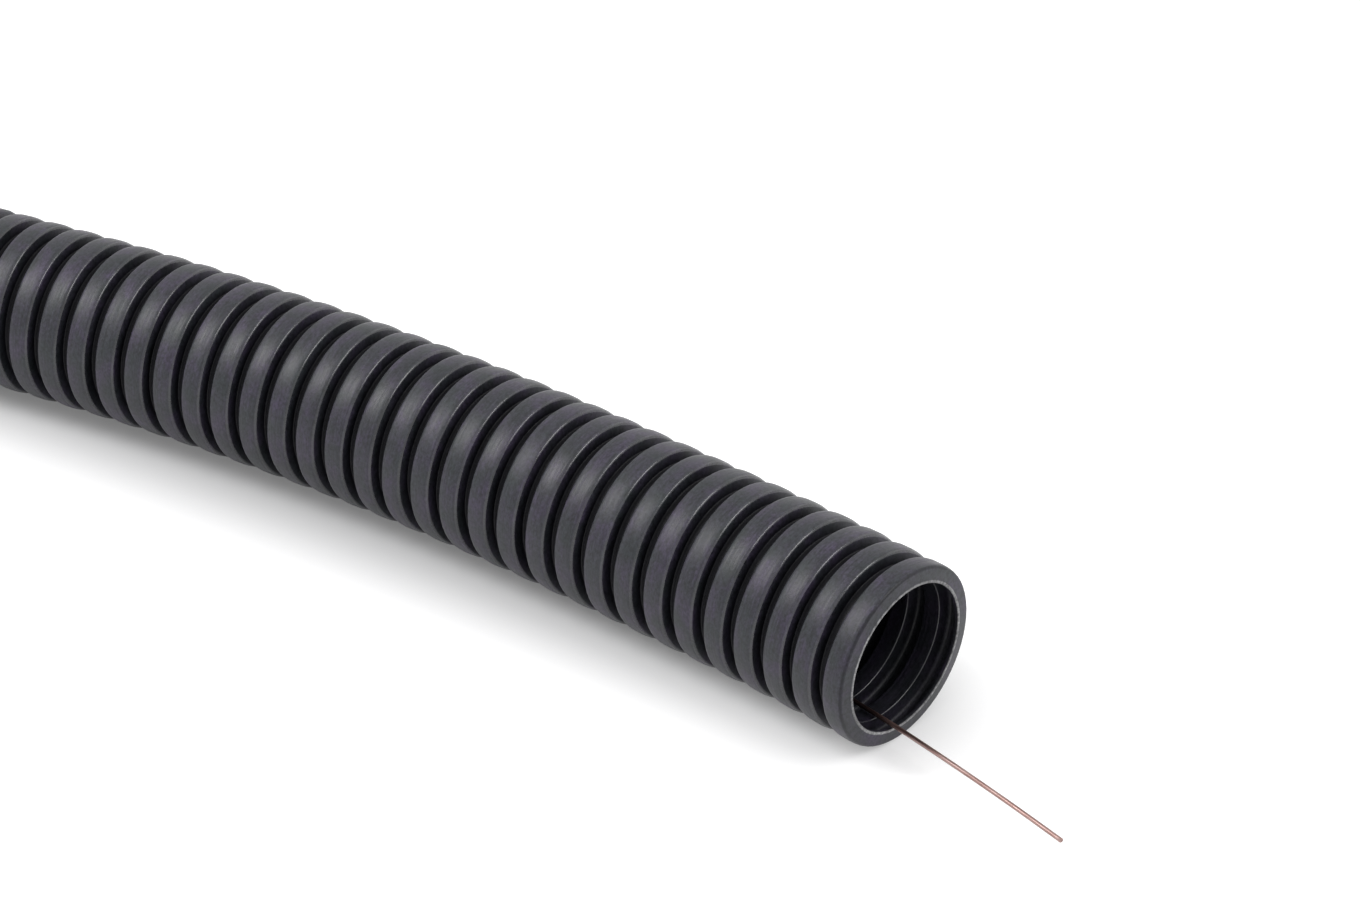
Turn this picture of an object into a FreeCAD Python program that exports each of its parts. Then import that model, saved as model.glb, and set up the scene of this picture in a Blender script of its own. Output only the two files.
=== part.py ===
"""Pliable corrugated conduit, cut from a coil, with the draw wire that lies in its bore.

Lengths are millimetres and angles are degrees. The conduit lies on the floor at z = 0.
Distances along the conduit, called stations, are counted from its front end, which faces +X.
From there it curls and bends to the left, seen from above, then a little to the right, and
runs on straight to its back end, which faces -X.
"""
import FreeCAD
import Part
import math
import os
from FreeCAD import Vector

# Section of the corrugated wall
OUTSIDE_DIAMETER = 32.0      # over the crests
GROOVE_DEPTH = 2.4           # from the crests down to the roots
WALL = 0.6                   # the same all along the wave
PITCH = 6.42                 # from one crest to the next
CREST_WIDTH = 3.95           # flat on top of a crest
FLANK_RUN = 0.2              # how far a flank leans along the axis
CREST_COUNT = 156
END_STUB = 0.1               # root left in front of the end flanks by the cut

# Plan of the conduit as it lies
FRONT_STRAIGHT = 9.0         # through the first two crests
CURL_ANGLE = 3.6             # tighter turn to the left behind them
CURL_RUN = 30.0
LEFT_BEND_START = 24.0
LEFT_BEND_RADIUS = 550.0
LEFT_BEND_ANGLE = 16.0
RIGHT_BEND_RADIUS = 350.0
RIGHT_BEND_ANGLE = 8.0
EASE_LENGTH = 60.0           # over which a bend tightens, and opens again
BACK_HEADING = 180.0         # the way the straight back stretch runs

# Draw wire
WIRE_DIAMETER = 0.8
WIRE_CLEARANCE = 0.2         # under the wire, to the roots it lies on
WIRE_PROTRUSION = 38.5       # past each end of the conduit
WIRE_STRAY = 8.0             # how far each tip swings to the side
WIRE_RISE = 1.0              # how far each tip rises
WIRE_STRAY_RUN = 50.0        # from where the swing starts, to the end face
WIRE_STEPS_INSIDE = 50
WIRE_STEPS_END = 6

OUTER_CREST_RADIUS = OUTSIDE_DIAMETER / 2
INNER_CREST_RADIUS = OUTER_CREST_RADIUS - WALL
OUTER_ROOT_RADIUS = OUTER_CREST_RADIUS - GROOVE_DEPTH
INNER_ROOT_RADIUS = OUTER_ROOT_RADIUS - WALL    # the free bore for cables
FLANK_LEAN = math.atan2(FLANK_RUN, GROOVE_DEPTH)
# A wall of even thickness turns its inner corners this far along the axis from its outer ones
CORNER_SHIFT = WALL * math.tan((math.pi / 2 - FLANK_LEAN) / 2)
FIRST_CREST = END_STUB + FLANK_RUN + CREST_WIDTH / 2
LENGTH = 2 * FIRST_CREST + (CREST_COUNT - 1) * PITCH
LEFT_BEND_LENGTH = LEFT_BEND_RADIUS * math.radians(LEFT_BEND_ANGLE)
RIGHT_BEND_LENGTH = RIGHT_BEND_RADIUS * math.radians(RIGHT_BEND_ANGLE)
RIGHT_BEND_START = LEFT_BEND_START + LEFT_BEND_LENGTH    # where the left bend begins to open
FRONT_HEADING = BACK_HEADING - CURL_ANGLE - LEFT_BEND_ANGLE + RIGHT_BEND_ANGLE
ROUTE_STEP = 1.0
SEAM_TOLERANCE = 0.001
UP = Vector(0, 0, 1)


def eased(distance):
    """Length of full bend that a bend easing in from 0 amounts to after this distance."""
    if distance <= 0:
        return 0.0
    if distance < EASE_LENGTH:
        return distance ** 2 / (2 * EASE_LENGTH)
    return distance - EASE_LENGTH / 2


def turned(station, start, radius, length):
    """Angle in radians that a bend has turned through at this station."""
    into_bend = station - start
    return (eased(into_bend) - eased(into_bend - length)) / radius


def curled(station):
    """Angle in radians that the curl of the front end has turned through at this station."""
    share = min(max((station - FRONT_STRAIGHT) / CURL_RUN, 0.0), 1.0)
    return math.radians(CURL_ANGLE) * (1 - (1 - share) ** 2)


def heading(station):
    """Angle in the plan of the way the stations run, in radians."""
    left = turned(station, LEFT_BEND_START, LEFT_BEND_RADIUS, LEFT_BEND_LENGTH)
    right = turned(station, RIGHT_BEND_START, RIGHT_BEND_RADIUS, RIGHT_BEND_LENGTH)
    return math.radians(FRONT_HEADING) + curled(station) + left - right


def along(station):
    """Unit vector along the conduit at this station."""
    angle = heading(station)
    return Vector(math.cos(angle), math.sin(angle), 0)


def leftward(station):
    """Unit vector to the left of the conduit at this station."""
    return UP.cross(along(station))


def centre(station):
    """Point on the conduit's axis. Past the ends the axis runs on straight."""
    inside = min(max(station, 0.0), LENGTH)
    steps = max(1, math.ceil(inside / ROUTE_STEP))
    step = inside / steps
    point = Vector(0, 0, OUTER_CREST_RADIUS)
    for index in range(steps):
        point += along((index + 0.5) * step) * step
    return point + along(inside) * (station - inside)


def ring(middle, normal, radius):
    """Circle across a horizontal line, with its seam at the bottom."""
    circle = Part.Circle(middle, normal, radius)
    circle.XAxis = -UP
    return circle.toShape()


def sleeve(point, direction, radius, start, end):
    """Straight round band between two distances from a point on its axis."""
    return ring(point + direction * start, direction, radius).extrude(direction * (end - start))


def wave_bands(crest_radius, root_radius, crest_width):
    """Straight bands of one side of the wall, as (station, radius, half width), front to back."""
    root_width = PITCH - 2 * FLANK_RUN - crest_width
    bands = []
    for index in range(CREST_COUNT):
        crest_station = FIRST_CREST + index * PITCH
        if index > 0:
            bands.append((crest_station - PITCH / 2, root_radius, root_width / 2))
        bands.append((crest_station, crest_radius, crest_width / 2))
    return bands


def wave_surface(crest_radius, root_radius, crest_width):
    """Faces of one side of the wall: stiff crests and roots, and flanks that take up the bend."""
    stub = FIRST_CREST - crest_width / 2 - FLANK_RUN
    faces = [sleeve(centre(0), along(0), root_radius, 0, stub)]
    edge_before = ring(centre(stub), along(0), root_radius)
    for station, radius, half in wave_bands(crest_radius, root_radius, crest_width):
        middle = centre(station)
        direction = along(station)
        faces.append(Part.makeRuledSurface(edge_before, ring(middle - direction * half, direction, radius)))
        faces.append(sleeve(middle, direction, radius, -half, half))
        edge_before = ring(middle + direction * half, direction, radius)
    back = centre(LENGTH)
    direction = along(LENGTH)
    faces.append(Part.makeRuledSurface(edge_before, ring(back - direction * stub, direction, root_radius)))
    faces.append(sleeve(back, direction, root_radius, -stub, 0))
    return faces


def end_face(station):
    """Cut edge of the wall, a flat ring."""
    disc = Part.Face(Part.Wire(ring(centre(station), along(station), OUTER_ROOT_RADIUS)))
    bore = Part.Face(Part.Wire(ring(centre(station), along(station), INNER_ROOT_RADIUS)))
    return disc.cut(bore).Faces[0]


def closed_solid(faces):
    """Solid inside faces that meet edge to edge, with every face turned outwards."""
    shell = Part.Shell(faces)
    shell.sewShape()
    solid = Part.Solid(shell)
    solid.fix(SEAM_TOLERANCE, SEAM_TOLERANCE, SEAM_TOLERANCE)
    return solid


def conduit():
    """The corrugated tube, one wall of even thickness."""
    faces = wave_surface(OUTER_CREST_RADIUS, OUTER_ROOT_RADIUS, CREST_WIDTH)
    faces += wave_surface(INNER_CREST_RADIUS, INNER_ROOT_RADIUS, CREST_WIDTH - 2 * CORNER_SHIFT)
    faces += [end_face(0), end_face(LENGTH)]
    return closed_solid(faces)


def wire_point(station):
    """Point on the wire's axis: it lies on the roots, and its tips swing to the side and rise."""
    run = WIRE_STRAY_RUN + WIRE_PROTRUSION
    from_nearer_tip = min(station, LENGTH - station) + WIRE_PROTRUSION
    swing = max(0.0, 1 - from_nearer_tip / run) ** 2
    swing_in_bore = min(swing, (WIRE_STRAY_RUN / run) ** 2)
    seat = INNER_ROOT_RADIUS - WIRE_CLEARANCE - WIRE_DIAMETER / 2
    below_axis = math.sqrt(seat ** 2 - (WIRE_STRAY * swing_in_bore) ** 2)
    return centre(station) + leftward(station) * WIRE_STRAY * swing + UP * (WIRE_RISE * swing - below_axis)


def wire_stations():
    """Stations of the wire's rings: close together where the tips swing, wider between."""
    end_run = WIRE_STRAY_RUN + WIRE_PROTRUSION
    middle_run = LENGTH - 2 * WIRE_STRAY_RUN
    front = [-WIRE_PROTRUSION + end_run * index / WIRE_STEPS_END for index in range(WIRE_STEPS_END)]
    middle = [WIRE_STRAY_RUN + middle_run * index / WIRE_STEPS_INSIDE for index in range(WIRE_STEPS_INSIDE + 1)]
    back = [LENGTH - station for station in reversed(front)]
    return front + middle + back


def pull_wire():
    """The draw wire, whole from tip to tip."""
    points = [wire_point(station) for station in wire_stations()]
    rings = []
    for index, point in enumerate(points):
        before = points[max(index - 1, 0)]
        after = points[min(index + 1, len(points) - 1)]
        direction = (after - before).normalize()
        direction.z = 0
        rings.append(ring(point, direction, WIRE_DIAMETER / 2))
    faces = [Part.makeRuledSurface(first, second) for first, second in zip(rings, rings[1:])]
    faces += [Part.Face(Part.Wire(rings[0])), Part.Face(Part.Wire(rings[-1]))]
    return closed_solid(faces)


def main():
    parts = {"conduit": conduit(), "pull_wire": pull_wire()}
    box = FreeCAD.BoundBox()
    for shape in parts.values():
        box.add(shape.optimalBoundingBox(False))
    to_origin = Vector(-box.Center.x, -box.Center.y, 0)
    os.makedirs("parts", exist_ok=True)
    for name, shape in parts.items():
        shape.translate(to_origin)
        shape.exportStep(f"parts/{name}.step")
        print(name, "valid", shape.isValid(), "volume", round(shape.Volume, 1), "faces", len(shape.Faces))
    for station in (0, LENGTH):
        print("end", station, "centre", centre(station) + to_origin, "axis", along(station))


main()
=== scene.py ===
"""Looks of a length of pliable corrugated conduit and of the draw wire in its bore.

Lengths are metres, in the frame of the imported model, with the floor at z = 0. Stations are
distances along the conduit from its front end, as in the part's source.
"""
import math
from collections import namedtuple

import bpy
import numpy as np
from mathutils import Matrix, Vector


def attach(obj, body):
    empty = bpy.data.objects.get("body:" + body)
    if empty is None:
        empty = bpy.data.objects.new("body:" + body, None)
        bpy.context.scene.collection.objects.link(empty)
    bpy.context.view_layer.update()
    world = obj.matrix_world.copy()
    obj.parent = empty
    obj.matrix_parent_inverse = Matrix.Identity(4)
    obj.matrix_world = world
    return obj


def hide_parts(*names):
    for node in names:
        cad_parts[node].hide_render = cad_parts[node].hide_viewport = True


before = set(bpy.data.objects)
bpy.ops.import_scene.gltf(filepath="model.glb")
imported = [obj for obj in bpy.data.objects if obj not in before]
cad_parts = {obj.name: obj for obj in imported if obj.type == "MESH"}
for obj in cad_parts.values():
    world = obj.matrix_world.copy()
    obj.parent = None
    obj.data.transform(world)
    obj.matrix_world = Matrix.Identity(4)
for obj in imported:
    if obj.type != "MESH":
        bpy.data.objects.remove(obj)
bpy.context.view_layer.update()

MM = 0.001

# Section of the corrugated wall, as in the part's source
OUTER_CREST_RADIUS = 16.0 * MM
GROOVE_DEPTH = 2.4 * MM
WALL = 0.6 * MM
PITCH = 6.42 * MM
CREST_WIDTH = 3.95 * MM
FLANK_RUN = 0.2 * MM
CREST_COUNT = 156
END_STUB = 0.1 * MM
INNER_CREST_RADIUS = OUTER_CREST_RADIUS - WALL
OUTER_ROOT_RADIUS = OUTER_CREST_RADIUS - GROOVE_DEPTH
INNER_ROOT_RADIUS = OUTER_ROOT_RADIUS - WALL
CORNER_SHIFT = WALL * math.tan((math.pi / 2 - math.atan2(FLANK_RUN, GROOVE_DEPTH)) / 2)
FIRST_CREST = END_STUB + FLANK_RUN + CREST_WIDTH / 2
LENGTH = 2 * FIRST_CREST + (CREST_COUNT - 1) * PITCH

# Plan of the conduit, as in the part's source
FRONT_END = (500.347 * MM, -6.912 * MM)
FRONT_STRAIGHT = 9.0 * MM
CURL_ANGLE = math.radians(3.6)
CURL_RUN = 30.0 * MM
LEFT_BEND_START = 24.0 * MM
LEFT_BEND_RADIUS = 550.0 * MM
LEFT_BEND_ANGLE = math.radians(16)
RIGHT_BEND_RADIUS = 350.0 * MM
RIGHT_BEND_ANGLE = math.radians(8)
EASE_LENGTH = 60.0 * MM
BACK_HEADING = math.radians(180)
LEFT_BEND_LENGTH = LEFT_BEND_RADIUS * LEFT_BEND_ANGLE
RIGHT_BEND_LENGTH = RIGHT_BEND_RADIUS * RIGHT_BEND_ANGLE
RIGHT_BEND_START = LEFT_BEND_START + LEFT_BEND_LENGTH
FRONT_HEADING = BACK_HEADING - CURL_ANGLE - LEFT_BEND_ANGLE + RIGHT_BEND_ANGLE
ROUTE_STEPS = 1000

# Rounded and broken edges, and the height of a crest's middle over its corners
CREST_ROUNDING = 0.6 * MM
ROOT_ROUNDING = 0.25 * MM
RIM_ROUNDING = 0.14 * MM
CREST_CROWN = 0.12 * MM

# Facets: the ribs near the ends are seen close by. Edges over the sharp angle stay crisp
SHARP_ANGLE = math.radians(62)
CREST_CORNER_STEPS = 3
CREST_CROWN_STEPS = 3
INNER_CORNER_STEPS = 2
FINE_SIDES = 60
COARSE_SIDES = 30
FINE_RIBS_FRONT = 31
FINE_RIBS_BACK = 4

# Draw wire, as in the part's source, with its cut edges broken by a chamfer
WIRE_RADIUS = 0.4 * MM
WIRE_CHAMFER = 0.1 * MM
WIRE_CLEARANCE = 0.2 * MM
WIRE_PROTRUSION = 38.5 * MM
WIRE_STRAY = 8.0 * MM
WIRE_RISE = 1.0 * MM
WIRE_STRAY_RUN = 50.0 * MM
WIRE_SIDES = 14
WIRE_END_STEP = 1.0 * MM
WIRE_INSIDE_STEP = 6.0 * MM

# Finishes, as shares of (plain colour, freshly cut, polished). Below a full first share the plastic is
# darkened by painted shade: fully in the outer grooves, partly in the bore and on the front crest's
# shoulder
NO_PAINTED_SHADE = (1.0, 0.0, 0.0)
NO_PAINTED_SHADE_EDGE = (1.0, 0.0, 1.0)
PAINTED_SHADE_SHOULDER = (0.6, 0.0, 0.0)
CUT = (0.0, 1.0, 0.0)
PAINTED_SHADE = (0.0, 0.0, 0.0)
BORE = (0.45, 0.0, 0.0)
BORE_EDGE = (0.45, 0.0, 1.0)

# Noise: features per metre along the tube and round it, and the range that most values fill
MOTTLE_FREQUENCY = (260, 200)
LINE_FREQUENCY = (3000, 60)
GRAIN_FREQUENCY = (2200, 1500)
COAT_FREQUENCY = (160, 1200)
DRAWN_FREQUENCY = (300, 9000)
NOISE_RANGE = (0.3, 0.7)

# Colours of the plastic and of the wire's copper coat, as (place on the noise, colour)
CREST_COLOURS = [
    (0.35, (0.019, 0.023, 0.026)),
    (0.5, (0.026, 0.026, 0.035)),
    (0.65, (0.037, 0.030, 0.052)),
]
# Near-black painted shade for the grooves, mixed in part into the bore and the front shoulder
PAINTED_GROOVE_SHADE_COLOURS = [(0.3, (0.004, 0.004, 0.006)), (0.7, (0.007, 0.007, 0.010))]
CUT_COLOURS = [(0.3, (0.22, 0.22, 0.225)), (0.7, (0.34, 0.34, 0.345))]
BRIGHT_COAT = [
    (0.3, (0.15, 0.085, 0.075)),
    (0.5, (0.33, 0.21, 0.19)),
    (0.7, (0.43, 0.31, 0.29)),
]
# Coat darkened by painted shade, for the wire inside the conduit
PAINTED_SHADE_COAT = [(0.3, (0.04, 0.025, 0.025)), (0.7, (0.10, 0.065, 0.06))]

# Dark and light tones that the plastic's colours are multiplied by
LINE_TONES = (0.68, 1.32)
GRAIN_TONES = (0.35, 1.65)

# Gloss and relief. Inside the conduit the wire's coat is darkened by painted shade, which fades out
# over a length behind each end of the conduit
SATIN_ROUGHNESS = (0.36, 0.52)
EDGE_ROUGHNESS = 0.22
GROOVE_SHINE = 0.2
CREST_SHINE = 0.4
EDGE_SHINE = 0.7
LINE_HEIGHT = 0.05 * MM
LINE_STRENGTH = 0.6
GRAIN_HEIGHT = 0.04 * MM
GRAIN_STRENGTH = 0.7
WIRE_ROUGHNESS = (0.30, 0.48)
WIRE_METALLIC = 0.85
DRAWN_HEIGHT = 0.02 * MM
DRAWN_STRENGTH = 0.5
PAINTED_SHADE_FADE = 6.0 * MM

# White floor. It glows for the camera, less near a line under the conduit than away from it, so that
# the rendered soft shadow stays and the weaker glow near the line paints more shade round the conduit.
# The line stops a setback short of the conduit's ends
FLOOR_SIZE = 16.0
FLOOR_COLOUR = (0.64, 0.64, 0.645)
FLOOR_ROUGHNESS = 0.7
FLOOR_GLOW = (0.15, 0.62)
FLOOR_PAINTED_SHADE_DISTANCE = (2 * MM, 34 * MM)
FLOOR_GLOW_SETBACK = 15 * MM
FLOOR_GLOW_REACH = LENGTH / 2 - FLOOR_GLOW_SETBACK

# Light at which a colour renders about as it is written
WHITE = (1.0, 1.0, 1.0, 1.0)
HORIZON_STRENGTH = 0.08
ZENITH_STRENGTH = 0.80
LIGHT_TARGET = (0.3, 0.0, 0.0)
LIGHT_DISTANCE = 1.4
KEY_FROM = (-0.50, -0.39, 0.76)
KEY_SIZE = (0.40, 0.70)
KEY_POWER = 10.5
RIM_PLACE = (0.6, 1.0, 0.45)
RIM_SIZE = (1.4, 0.3)
RIM_POWER = 0.6
SIDE_FROM = (0.72, 0.12, 0.68)
SIDE_SIZE = (0.9, 0.35)
SIDE_POWER = 5.0

# Camera, from a fit to the ribs in the photograph
CAMERA_PLACE = (0.70216, -0.42333, 0.34434)
CAMERA_TURN = [math.radians(angle) for angle in (57.7515, -1.2511, 31.2323)]
CAMERA_LENS = 93.67
CAMERA_SENSOR = 36.0
CAMERA_RANGE = (0.01, 100.0)

# Sockets of the colour mix node, whose names aren't unique
MIX_FACTOR = 0
MIX_FIRST = 6
MIX_SECOND = 7
MIX_COLOUR = 2

UP = np.array([0.0, 0.0, 1.0])
Ring = namedtuple("Ring", "station middle direction radius sides finish")


def eased(distance):
    """Length of full bend that a bend easing in from 0 amounts to after these distances."""
    easing = distance ** 2 / (2 * EASE_LENGTH)
    full = distance - EASE_LENGTH / 2
    return np.where(distance <= 0, 0.0, np.where(distance < EASE_LENGTH, easing, full))


def turned(station, start, radius, length):
    """Angle that a bend has turned through at these stations."""
    into_bend = station - start
    return (eased(into_bend) - eased(into_bend - length)) / radius


def curled(station):
    """Angle that the curl of the front end has turned through at these stations."""
    share = np.clip((station - FRONT_STRAIGHT) / CURL_RUN, 0.0, 1.0)
    return CURL_ANGLE * (1 - (1 - share) ** 2)


def heading(station):
    """Angle in the plan of the way the stations run."""
    left = turned(station, LEFT_BEND_START, LEFT_BEND_RADIUS, LEFT_BEND_LENGTH)
    right = turned(station, RIGHT_BEND_START, RIGHT_BEND_RADIUS, RIGHT_BEND_LENGTH)
    return FRONT_HEADING + curled(station) + left - right


def route_table():
    """Stations along the axis, and the points of the axis there, seen from above."""
    stations = np.linspace(0, LENGTH, ROUTE_STEPS + 1)
    middles = (stations[1:] + stations[:-1]) / 2
    steps = np.diff(stations)[:, None]
    moves = np.column_stack([np.cos(heading(middles)), np.sin(heading(middles))]) * steps
    points = np.vstack([FRONT_END, FRONT_END + np.cumsum(moves, axis=0)])
    return stations, points


ROUTE_STATIONS, ROUTE_POINTS = route_table()


def along(station):
    """Unit vector along the conduit at this station."""
    angle = float(heading(np.array(station)))
    return np.array([math.cos(angle), math.sin(angle), 0.0])


def leftward(station):
    """Unit vector to the left of the conduit at this station."""
    return np.cross(UP, along(station))


def centre(station):
    """Point on the conduit's axis. Past the ends the axis runs on straight."""
    inside = min(max(station, 0.0), LENGTH)
    x, y = (np.interp(inside, ROUTE_STATIONS, ROUTE_POINTS[:, axis]) for axis in (0, 1))
    return np.array([x, y, OUTER_CREST_RADIUS]) + along(inside) * (station - inside)


def rounded(before, corner, after, radius, steps):
    """Points of the arc that rounds a corner of the section, or the corner alone for no steps."""
    before, corner, after = (np.array(point) for point in (before, corner, after))
    if steps == 0:
        return [tuple(corner)]
    one = (before - corner) / np.linalg.norm(before - corner)
    other = (after - corner) / np.linalg.norm(after - corner)
    half_angle = math.acos(float(one @ other)) / 2
    middle = corner + (one + other) / np.linalg.norm(one + other) * radius / math.sin(half_angle)
    reach = radius / math.tan(half_angle)
    first = corner + one * reach - middle
    last = corner + other * reach - middle
    sweep = math.pi - 2 * half_angle
    points = []
    for step in range(steps + 1):
        share = step / steps
        spoke = first * math.sin((1 - share) * sweep) + last * math.sin(share * sweep)
        points.append(tuple(middle + spoke / math.sin(sweep)))
    return points


def mirrored(points):
    """The same points on the other side of the rib's middle, in running order."""
    return [(-offset, radius) for offset, radius in reversed(points)]


def crest_band(half_width, radius, foot_radius, corner_steps, crown_steps=0, crown=0.0):
    """Top of a crest as (offset from its middle, radius): domed between its rounded corners."""
    foot = (-half_width - FLANK_RUN, foot_radius)
    shoulder = (-half_width, radius - crown)
    corner = rounded(foot, shoulder, (0.0, radius), CREST_ROUNDING, corner_steps)
    offsets = [half_width * (2 * step / (crown_steps + 1) - 1) for step in range(1, crown_steps + 1)]
    dome = [(offset, radius - crown * (offset / half_width) ** 2) for offset in offsets]
    return corner + dome + mirrored(corner)


def root_band(half_width, radius, foot_radius, corner_steps):
    """Floor of a root as (offset from its middle, radius)."""
    foot = (-half_width - FLANK_RUN, foot_radius)
    corner = rounded(foot, (-half_width, radius), (0.0, radius), ROOT_ROUNDING, corner_steps)
    return corner + mirrored(corner)


def is_fine(rib):
    """Whether the rib lies near enough to an end to be seen close by."""
    return rib < FINE_RIBS_FRONT or rib >= CREST_COUNT - FINE_RIBS_BACK


def sides_of(rib):
    """Number of facets round the rib."""
    return FINE_SIDES if is_fine(rib) else COARSE_SIDES


def crest_station(rib):
    """Station of the middle of the rib's crest."""
    return FIRST_CREST + rib * PITCH


def tube_ring(station, offset, radius, sides, finish):
    """Ring at an offset from a station, square to the conduit's direction at that station."""
    direction = along(station)
    middle = centre(station) + direction * offset
    return Ring(station + offset, middle, direction, radius, sides, finish)


def band_rings(station, band, corner_steps, sides, face, edge):
    """Rings of one crest or root. The middle of its front corner has the finish of an edge."""
    rings = []
    for index, (offset, radius) in enumerate(band):
        finish = edge if 0 < index < corner_steps else face
        rings.append(tube_ring(station, offset, radius, sides, finish))
    return rings


def outer_crest(rib):
    """Rings of one outer crest: domed near the ends, and flat with chamfered corners elsewhere."""
    corner_steps = CREST_CORNER_STEPS if is_fine(rib) else 1
    dome = (CREST_CROWN_STEPS, CREST_CROWN) if is_fine(rib) else ()
    band = crest_band(CREST_WIDTH / 2, OUTER_CREST_RADIUS, OUTER_ROOT_RADIUS, corner_steps, *dome)
    # The front crest's shoulder takes a line of painted shade; the other crests' front corners are
    # polished
    edge = PAINTED_SHADE_SHOULDER if rib == 0 else NO_PAINTED_SHADE_EDGE
    return band_rings(crest_station(rib), band, corner_steps, sides_of(rib), NO_PAINTED_SHADE, edge)


def outer_root(rib):
    """Rings of the groove behind the rib, darkened by painted shade."""
    half = (PITCH - 2 * FLANK_RUN - CREST_WIDTH) / 2
    corner_steps = 1 if is_fine(rib) else 0
    band = root_band(half, OUTER_ROOT_RADIUS, OUTER_CREST_RADIUS, corner_steps)
    return band_rings(crest_station(rib) + PITCH / 2, band, corner_steps, sides_of(rib), PAINTED_SHADE, PAINTED_SHADE)


def inner_crest(rib):
    """Rings of the hollow under the rib's crest, partly darkened by painted shade."""
    half = CREST_WIDTH / 2 - CORNER_SHIFT
    corner_steps = 1 if is_fine(rib) else 0
    band = crest_band(half, INNER_CREST_RADIUS, INNER_ROOT_RADIUS, corner_steps)
    return band_rings(crest_station(rib), band, corner_steps, sides_of(rib), BORE, BORE)


def inner_root(rib):
    """Rings of the ridge in the bore behind the rib, partly darkened by painted shade."""
    half = PITCH / 2 - FLANK_RUN - CREST_WIDTH / 2 + CORNER_SHIFT
    corner_steps = INNER_CORNER_STEPS if is_fine(rib) else 0
    band = root_band(half, INNER_ROOT_RADIUS, INNER_CREST_RADIUS, corner_steps)
    station = crest_station(rib) + PITCH / 2
    return band_rings(station, band, corner_steps, sides_of(rib), BORE, BORE_EDGE)


def wave_rings(crest, root):
    """Rings of one side of the wall between the two cuts, from the front crest to the back one."""
    rings = crest(0)
    for rib in range(1, CREST_COUNT):
        rings += root(rib - 1) + crest(rib)
    return rings


def rim_rings(station, inward):
    """Rings of a cut end from its outer foot, over its broken edges, into the bore, where painted
    shade partly darkens it.
    """
    foot = FIRST_CREST - CREST_WIDTH / 2 + CORNER_SHIFT - FLANK_RUN
    profile = [
        (END_STUB, OUTER_ROOT_RADIUS, NO_PAINTED_SHADE),
        (0.0, OUTER_ROOT_RADIUS - RIM_ROUNDING, CUT),
        (0.0, INNER_ROOT_RADIUS + RIM_ROUNDING, CUT),
        (RIM_ROUNDING, INNER_ROOT_RADIUS, BORE),
        (foot, INNER_ROOT_RADIUS, BORE),
    ]
    rings = []
    for offset, radius, finish in profile:
        rings.append(tube_ring(station, inward * offset, radius, FINE_SIDES, finish))
    return rings


def tube_rings():
    """All rings of the tube in turn: along its outside, over the back cut, through its bore."""
    front = rim_rings(0.0, 1)
    back = rim_rings(LENGTH, -1)
    outside = front[:1] + wave_rings(outer_crest, outer_root) + back
    inside = front[1:] + wave_rings(inner_crest, inner_root)
    return outside + inside[::-1]


def wire_point(station):
    """Point on the wire's axis: it lies just over the roots, and its tips swing aside and rise."""
    run = WIRE_STRAY_RUN + WIRE_PROTRUSION
    from_nearer_tip = min(station, LENGTH - station) + WIRE_PROTRUSION
    swing = max(0.0, 1 - from_nearer_tip / run) ** 2
    swing_in_bore = min(swing, (WIRE_STRAY_RUN / run) ** 2)
    seat = INNER_ROOT_RADIUS - WIRE_CLEARANCE - WIRE_RADIUS
    below_axis = math.sqrt(seat ** 2 - (WIRE_STRAY * swing_in_bore) ** 2)
    aside = leftward(min(max(station, 0.0), LENGTH)) * WIRE_STRAY * swing
    return centre(station) + aside + UP * (WIRE_RISE * swing - below_axis)


def wire_stations():
    """Stations of the wire's rings, close together where its tips swing."""
    end_run = WIRE_PROTRUSION + WIRE_STRAY_RUN
    inside_run = LENGTH - 2 * WIRE_STRAY_RUN
    front = np.linspace(-WIRE_PROTRUSION, WIRE_STRAY_RUN, round(end_run / WIRE_END_STEP))
    inside = np.linspace(WIRE_STRAY_RUN, LENGTH - WIRE_STRAY_RUN, round(inside_run / WIRE_INSIDE_STEP))
    return np.concatenate([front, inside[1:-1], LENGTH - front[::-1]])


def wire_ring(station, middle, direction, radius=WIRE_RADIUS):
    """Ring across the wire."""
    return Ring(station, middle, direction, radius, WIRE_SIDES, PAINTED_SHADE)


def cut_tip(station, middle, direction, inward):
    """Rings of a cut tip of the wire, its edge broken, from its face inwards."""
    face = wire_ring(station, middle, direction, WIRE_RADIUS - WIRE_CHAMFER)
    side = wire_ring(station, middle + direction * inward * WIRE_CHAMFER, direction)
    return [face, side]


def wire_rings():
    """All rings of the wire, from its front tip to its back tip."""
    stations = wire_stations()
    middles = np.array([wire_point(station) for station in stations])
    directions = np.gradient(middles, axis=0)
    directions[:, 2] = 0
    directions /= np.linalg.norm(directions, axis=1)[:, None]
    front, *between, back = zip(stations, middles, directions)
    rings = cut_tip(*front, 1)
    rings += [wire_ring(*place) for place in between]
    return rings + cut_tip(*back, -1)[::-1]


def round_the_ring(ring):
    """Sines and cosines of the angles of a ring's points, counted from the bottom."""
    angles = np.arange(ring.sides) * 2 * math.pi / ring.sides
    return np.sin(angles), np.cos(angles)


def ring_points(ring):
    """Points of a ring round a horizontal line."""
    sines, cosines = round_the_ring(ring)
    left = np.cross(UP, ring.direction)
    return ring.middle + ring.radius * (np.outer(sines, left) - np.outer(cosines, UP))


def straightened_points(ring):
    """The same points on the straightened tube, where the materials are laid out."""
    sines, cosines = round_the_ring(ring)
    stations = np.full(ring.sides, ring.station)
    return np.column_stack([stations, ring.radius * sines, -ring.radius * cosines])


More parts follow.
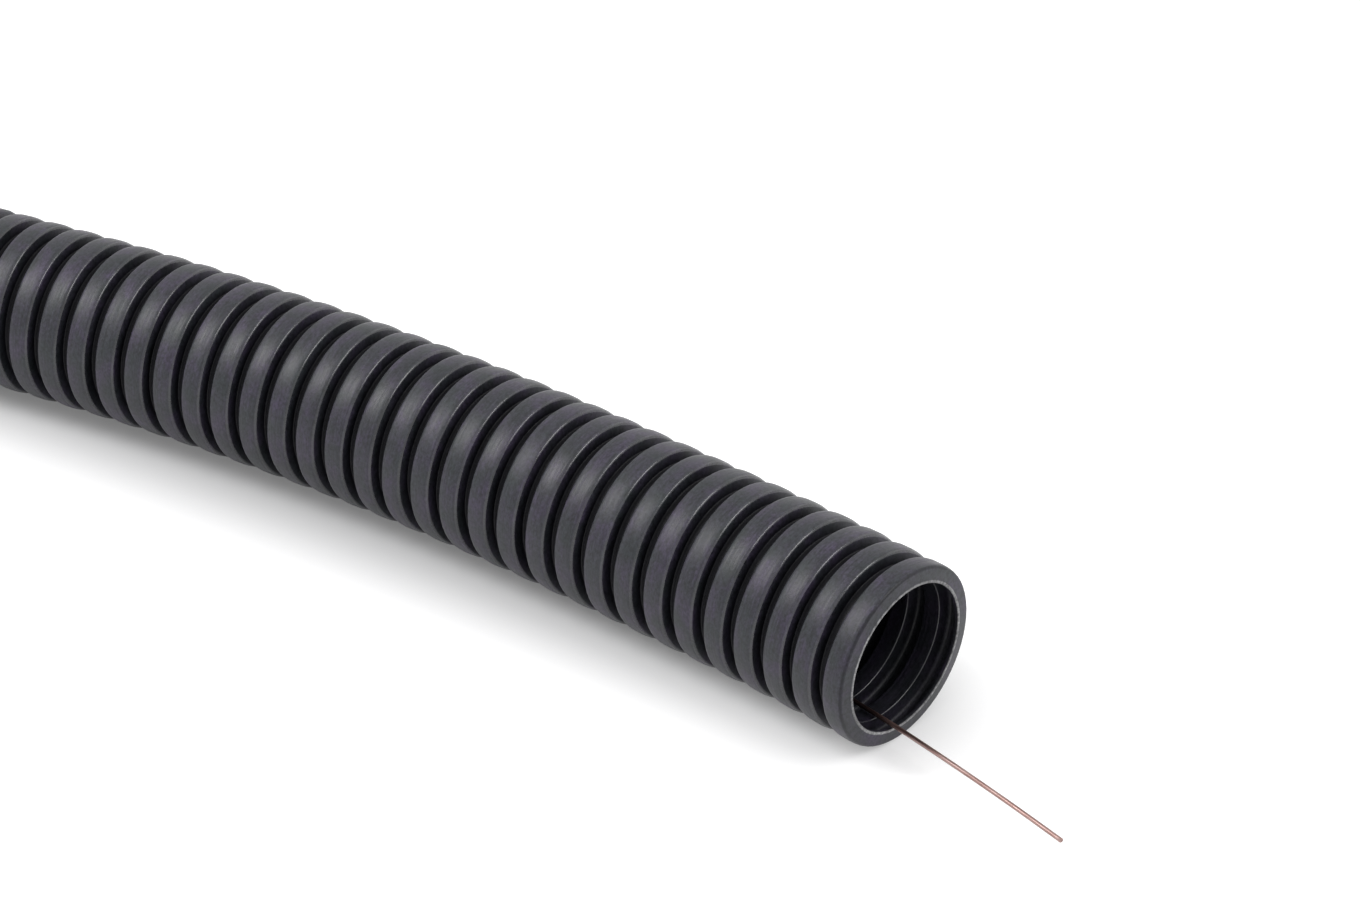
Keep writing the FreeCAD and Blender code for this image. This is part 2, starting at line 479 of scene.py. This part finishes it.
def strip(first, first_sides, second, second_sides):
    """Faces between neighbouring rings of equal or doubled sides, given by their first vertex."""
    faces = []
    sides = min(first_sides, second_sides)
    for side in range(sides):
        onward = (side + 1) % sides
        if first_sides == second_sides:
            faces.append((first + side, first + onward, second + onward, second + side))
        elif first_sides > second_sides:
            near, between, far = (first + (2 * side + step) % first_sides for step in range(3))
            faces.append((near, between, second + side))
            faces.append((between, second + onward, second + side))
            faces.append((between, far, second + onward))
        else:
            near, between, far = (second + (2 * side + step) % second_sides for step in range(3))
            faces.append((first + side, between, near))
            faces.append((first + side, first + onward, between))
            faces.append((first + onward, far, between))
    return faces


def skin_faces(rings, closed):
    """Faces over the rings in turn, and back to the first one or over both tips."""
    starts = np.cumsum([0] + [ring.sides for ring in rings]).tolist()
    faces = []
    for index in range(len(rings) if closed else len(rings) - 1):
        following = (index + 1) % len(rings)
        faces += strip(starts[index], rings[index].sides, starts[following], rings[following].sides)
    if not closed:
        faces.append(tuple(reversed(range(starts[1]))))
        faces.append(tuple(range(starts[-2], starts[-1])))
    return faces


def add_attribute(mesh, name, vectors):
    """Keep a vector for each point of the mesh, for its material."""
    attribute = mesh.attributes.new(name, "FLOAT_VECTOR", "POINT")
    attribute.data.foreach_set("vector", np.asarray(vectors, np.float32).ravel())


def skinned_piece(name, rings, closed, material):
    """Smooth mesh object over the rings."""
    points = np.vstack([ring_points(ring) for ring in rings])
    mesh = bpy.data.meshes.new(name)
    mesh.from_pydata(points.tolist(), [], skin_faces(rings, closed))
    mesh.validate()
    add_attribute(mesh, "tube", np.vstack([straightened_points(ring) for ring in rings]))
    add_attribute(mesh, "finish", [ring.finish for ring in rings for _ in range(ring.sides)])
    mesh.materials.append(material)
    mesh.shade_smooth()
    piece = bpy.data.objects.new(name, mesh)
    bpy.context.scene.collection.objects.link(piece)
    return piece


def crisp_flats(piece):
    """Flat bands shade flat and only the rounded edges between them turn the light."""
    piece.data.set_sharp_from_angle(angle=SHARP_ANGLE)
    weighted = piece.modifiers.new("crisp flats", "WEIGHTED_NORMAL")
    weighted.keep_sharp = True


def conduit_tube(material):
    """The corrugated tube: outside, cut ends and bore in one closed mesh."""
    piece = skinned_piece("conduit_tube", tube_rings(), True, material)
    crisp_flats(piece)
    return piece


def draw_wire(material):
    """The draw wire, whole from tip to tip."""
    return skinned_piece("draw_wire", wire_rings(), False, material)


def new_material(name):
    """Empty node material, its node tree and its Principled shader."""
    material = bpy.data.materials.new(name)
    material.use_nodes = True
    tree = material.node_tree
    return material, tree, tree.nodes["Principled BSDF"]


def feed(tree, node, inputs):
    """Give each input of a node its value, or the output that feeds it."""
    for socket, value in inputs.items():
        if isinstance(value, bpy.types.NodeSocket):
            tree.links.new(value, node.inputs[socket])
        else:
            node.inputs[socket].default_value = value


def add_node(tree, kind, inputs, **settings):
    """New node with these settings and inputs."""
    node = tree.nodes.new(kind)
    for name, value in settings.items():
        setattr(node, name, value)
    feed(tree, node, inputs)
    return node


def computed(tree, operation, *values, clamp=False):
    """Result of a calculation with numbers."""
    inputs = dict(enumerate(values))
    node = add_node(tree, "ShaderNodeMath", inputs, operation=operation, use_clamp=clamp)
    return node.outputs["Value"]


def vector_computed(tree, operation, *values):
    """Result of a calculation with vectors: a number for a length, and a vector otherwise."""
    node = add_node(tree, "ShaderNodeVectorMath", dict(enumerate(values)), operation=operation)
    return node.outputs["Value" if operation == "LENGTH" else "Vector"]


def mapped(tree, value, source, target, interpolation="LINEAR"):
    """Value moved from the source range onto the target range, and kept within it."""
    inputs = {
        "Value": value,
        "From Min": source[0],
        "From Max": source[1],
        "To Min": target[0],
        "To Max": target[1],
    }
    node = add_node(tree, "ShaderNodeMapRange", inputs, interpolation_type=interpolation)
    return node.outputs["Result"]


def attribute_vector(tree, name):
    """Vector that the mesh keeps for each point."""
    return add_node(tree, "ShaderNodeAttribute", {}, attribute_name=name).outputs["Vector"]


def parts_of(tree, vector):
    """The three numbers of a vector, by axis."""
    return add_node(tree, "ShaderNodeSeparateXYZ", {"Vector": vector}).outputs


def tube_noise(tree, frequency, detail, roughness=0.5):
    """Noise over the straightened tube."""
    lengthways, across = frequency
    place = attribute_vector(tree, "tube")
    inputs = {
        "Vector": vector_computed(tree, "MULTIPLY", place, (lengthways, across, across)),
        "Scale": 1.0,
        "Detail": detail,
        "Roughness": roughness,
    }
    return add_node(tree, "ShaderNodeTexNoise", inputs).outputs["Fac"]


def ramp(tree, factor, stops):
    """Colours over a factor, as (position, colour) stops."""
    node = add_node(tree, "ShaderNodeValToRGB", {"Fac": factor})
    elements = node.color_ramp.elements
    for element, (position, colour) in zip(elements, (stops[0], stops[-1])):
        element.position = position
        element.color = (*colour, 1)
    for position, colour in stops[1:-1]:
        elements.new(position).color = (*colour, 1)
    return node.outputs["Color"]


def tones(tree, noise, dark_and_light):
    """Greys over a noise, to multiply a colour by."""
    stops = [(position, (tone, tone, tone)) for position, tone in zip(NOISE_RANGE, dark_and_light)]
    return ramp(tree, noise, stops)


def mixed(tree, first, second, factor, blend="MIX"):
    """Two colours mixed by a factor."""
    inputs = {MIX_FACTOR: factor, MIX_FIRST: first, MIX_SECOND: second}
    node = add_node(tree, "ShaderNodeMix", inputs, data_type="RGBA", blend_type=blend)
    return node.outputs[MIX_COLOUR]


def faded(tree, value, full_value, factor):
    """Number that goes from a value to a fixed one over a factor."""
    inputs = {"Factor": factor, "A": value, "B": full_value}
    return add_node(tree, "ShaderNodeMix", inputs, data_type="FLOAT").outputs["Result"]


def bumped(tree, height, distance, strength, before=None):
    """Relief of this height, laid over an earlier one if there is one."""
    inputs = {"Height": height, "Distance": distance, "Strength": strength}
    if before is not None:
        inputs["Normal"] = before
    return add_node(tree, "ShaderNodeBump", inputs).outputs["Normal"]


def conduit_plastic():
    """Dark grey satin plastic with a faint violet mottle on its crests, and painted shade that makes
    the grooves near-black and darkens the bore.
    """
    material, tree, shader = new_material("conduit_plastic")
    out_of_painted_shade, cut, polished = parts_of(tree, attribute_vector(tree, "finish"))
    mottle = tube_noise(tree, MOTTLE_FREQUENCY, 3.0, 0.6)
    lines = tube_noise(tree, LINE_FREQUENCY, 3.0)
    grain = tube_noise(tree, GRAIN_FREQUENCY, 4.0, 0.7)
    # Painted shade: the near-black groove colour comes in where the plain-colour share falls
    with_painted_shade = mixed(tree, ramp(tree, mottle, PAINTED_GROOVE_SHADE_COLOURS), ramp(tree, mottle, CREST_COLOURS), out_of_painted_shade)
    base = mixed(tree, with_painted_shade, ramp(tree, grain, CUT_COLOURS), cut)
    base = mixed(tree, base, tones(tree, lines, LINE_TONES), 1.0, "MULTIPLY")
    base = mixed(tree, base, tones(tree, grain, GRAIN_TONES), 1.0, "MULTIPLY")
    satin = mapped(tree, lines, NOISE_RANGE, SATIN_ROUGHNESS)
    shine = mapped(tree, out_of_painted_shade, (0.0, 1.0), (GROOVE_SHINE, CREST_SHINE))
    relief = bumped(tree, lines, LINE_HEIGHT, LINE_STRENGTH)
    feed(tree, shader, {
        "Base Color": base,
        "Roughness": faded(tree, satin, EDGE_ROUGHNESS, polished),
        "Specular IOR Level": faded(tree, shine, EDGE_SHINE, polished),
        "Normal": bumped(tree, grain, GRAIN_HEIGHT, GRAIN_STRENGTH, relief),
    })
    return material


def share_in_bore(tree):
    """1 on what lies inside the conduit, fading to 0 at its ends: where the wire's coat takes painted
    shade.
    """
    station = parts_of(tree, attribute_vector(tree, "tube"))["X"]
    from_middle = computed(tree, "ABSOLUTE", computed(tree, "SUBTRACT", station, LENGTH / 2))
    return mapped(tree, from_middle, (LENGTH / 2 - PAINTED_SHADE_FADE, LENGTH / 2), (1.0, 0.0))


def wire_steel():
    """Drawn steel wire, copper-coated: darker where the coat is thin, and darkened by painted shade
    inside the conduit.
    """
    material, tree, shader = new_material("wire_steel")
    coat = tube_noise(tree, COAT_FREQUENCY, 4.0, 0.6)
    drawn = tube_noise(tree, DRAWN_FREQUENCY, 2.0)
    bright = ramp(tree, coat, BRIGHT_COAT)
    painted_shade_coat = ramp(tree, coat, PAINTED_SHADE_COAT)
    feed(tree, shader, {
        # Painted shade darkens the coat inside the conduit
        "Base Color": mixed(tree, bright, painted_shade_coat, share_in_bore(tree)),
        "Roughness": mapped(tree, drawn, NOISE_RANGE, WIRE_ROUGHNESS),
        "Metallic": WIRE_METALLIC,
        "Normal": bumped(tree, drawn, DRAWN_HEIGHT, DRAWN_STRENGTH),
    })
    return material


def seen_rays(tree):
    """1 for what the camera sees, also in gloss and through glass, and 0 for light."""
    path = add_node(tree, "ShaderNodeLightPath", {})
    seen = path.outputs["Is Camera Ray"]
    for other in ("Is Glossy Ray", "Is Transmission Ray"):
        seen = computed(tree, "ADD", seen, path.outputs[other], clamp=True)
    return seen


def distance_from_conduit(tree):
    """Distance on the floor from the line under the conduit that the glow starts from."""
    place = add_node(tree, "ShaderNodeTexCoord", {}).outputs["Object"]
    folded = vector_computed(tree, "ABSOLUTE", place)
    beyond = vector_computed(tree, "SUBTRACT", folded, (FLOOR_GLOW_REACH, 0, 0))
    outside = vector_computed(tree, "MAXIMUM", beyond, (0, 0, 0))
    return vector_computed(tree, "LENGTH", outside)


def floor_paper():
    """White studio floor: it keeps the rendered soft shadow, adds painted shade by glowing less near
    the conduit, and glows white away from it.
    """
    material, tree, shader = new_material("floor_paper")
    away = distance_from_conduit(tree)
    # Weaker glow near the conduit paints shade round it
    glow_with_painted_shade = mapped(tree, away, FLOOR_PAINTED_SHADE_DISTANCE, FLOOR_GLOW, "SMOOTHSTEP")
    feed(tree, shader, {
        "Base Color": (*FLOOR_COLOUR, 1),
        "Roughness": FLOOR_ROUGHNESS,
        "Emission Color": WHITE,
        "Emission Strength": computed(tree, "MULTIPLY", seen_rays(tree), glow_with_painted_shade),
    })
    return material


def floor():
    """Floor under the conduit."""
    half = FLOOR_SIZE / 2
    corners = [(-half, -half, 0), (half, -half, 0), (half, half, 0), (-half, half, 0)]
    mesh = bpy.data.meshes.new("floor")
    mesh.from_pydata(corners, [], [(0, 1, 2, 3)])
    mesh.materials.append(floor_paper())
    piece = bpy.data.objects.new("floor", mesh)
    bpy.context.scene.collection.objects.link(piece)


def white_world():
    """White surroundings, shown white, that light the scene more from above than from the horizon."""
    world = bpy.data.worlds.new("studio")
    bpy.context.scene.world = world
    world.use_nodes = True
    tree = world.node_tree
    place = add_node(tree, "ShaderNodeTexCoord", {}).outputs["Generated"]
    height = parts_of(tree, place)["Z"]
    sky = mapped(tree, height, (0.0, 1.0), (HORIZON_STRENGTH, ZENITH_STRENGTH))
    feed(tree, tree.nodes["Background"], {
        "Color": WHITE,
        "Strength": faded(tree, sky, 1.0, seen_rays(tree)),
    })


def area_light(name, place, size, power):
    """Soft box that faces the front stretch of the conduit and isn't seen itself."""
    light = bpy.data.lights.new(name, "AREA")
    light.shape = "RECTANGLE"
    light.size, light.size_y = size
    light.energy = power
    lamp = bpy.data.objects.new(name, light)
    lamp.location = place
    lamp.rotation_euler = (Vector(LIGHT_TARGET) - Vector(place)).to_track_quat("-Z", "Y").to_euler()
    lamp.visible_camera = False
    bpy.context.scene.collection.objects.link(lamp)


def away_from_target(direction):
    """Place for a lamp in this direction from what the lamps face."""
    return Vector(LIGHT_TARGET) + Vector(direction).normalized() * LIGHT_DISTANCE


def lights():
    """Studio light: soft surroundings and three soft boxes."""
    white_world()
    area_light("key", away_from_target(KEY_FROM), KEY_SIZE, KEY_POWER)
    area_light("rim", RIM_PLACE, RIM_SIZE, RIM_POWER)
    area_light("side", away_from_target(SIDE_FROM), SIDE_SIZE, SIDE_POWER)


def camera():
    """Camera at the photograph's angle."""
    data = bpy.data.cameras.new("camera")
    data.sensor_width = CAMERA_SENSOR
    data.lens = CAMERA_LENS
    data.clip_start, data.clip_end = CAMERA_RANGE
    item = bpy.data.objects.new("camera", data)
    item.location = CAMERA_PLACE
    item.rotation_euler = CAMERA_TURN
    bpy.context.scene.collection.objects.link(item)
    bpy.context.scene.camera = item


camera()
tube = conduit_tube(conduit_plastic())
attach(tube, "root")
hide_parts("conduit")
wire = draw_wire(wire_steel())
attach(wire, "root")
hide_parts("pull_wire")
floor()
lights()
bpy.context.scene.view_settings.view_transform = "Standard"
